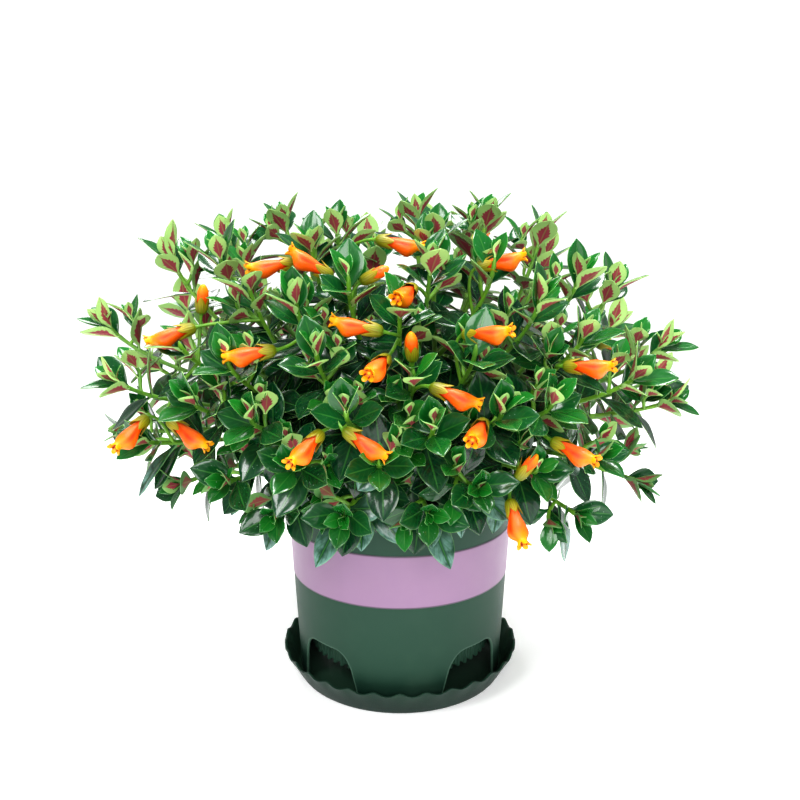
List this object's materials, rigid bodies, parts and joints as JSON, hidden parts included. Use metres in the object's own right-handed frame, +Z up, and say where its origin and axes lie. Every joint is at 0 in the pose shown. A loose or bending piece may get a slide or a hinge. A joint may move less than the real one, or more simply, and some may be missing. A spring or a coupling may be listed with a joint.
{
  "type": "potted plant",
  "caption": "Bushy goldfish plant with glossy green leaves and pouched orange flowers in a slotted green plastic pot on a scalloped saucer.",
  "frame": {"origin": "centre of the saucer's underside, on the surface that it stands on", "axes": "+Z up, -Y to the front as pictured, +X to the right seen from the front"},
  "size_m": [0.3423, 0.282, 0.2859],
  "materials": {
    "plastic": "matte dark green nursery plastic with a plain pink band round the pot",
    "soil": "dark crumbly potting soil",
    "foliage": "thick waxy leaves, deep green above, lime and maroon below, on lime stems",
    "petal": "satin petals, orange-red at the base and yellow at the mouth"
  },
  "bodies": {
    "root": {"saucer": "plastic", "pot": "plastic", "soil": "soil", "leafy_plant_01": "foliage", "leafy_plant_02": "foliage", "leafy_plant_03": "foliage", "leafy_plant_04": "foliage", "leafy_plant_05": "foliage", "leafy_plant_06": "foliage", "leafy_plant_07": "foliage", "leafy_plant_08": "foliage", "leafy_plant_09": "foliage", "leafy_plant_10": "foliage", "leafy_plant_11": "foliage", "leafy_plant_12": "foliage", "flower_01": "petal", "flower_02": "petal", "bud_03": "petal", "bud_04": "petal", "flower_05": "petal", "flower_06": "petal", "flower_07": "petal", "flower_08": "petal", "flower_09": "petal", "flower_10": "petal", "flower_11": "petal", "flower_12": "petal", "bud_13": "petal", "flower_14": "petal", "flower_15": "petal", "flower_16": "petal", "flower_17": "petal", "flower_18": "petal", "flower_19": "petal", "flower_20": "petal", "flower_21": "petal", "bud_22": "petal", "flower_23": "petal", "flower_24": "petal", "flower_25": "petal", "flower_26": "petal", "flower_27": "petal", "flower_28": "petal", "flower_29": "petal", "flower_30": "petal"}
  },
  "joints": []
}
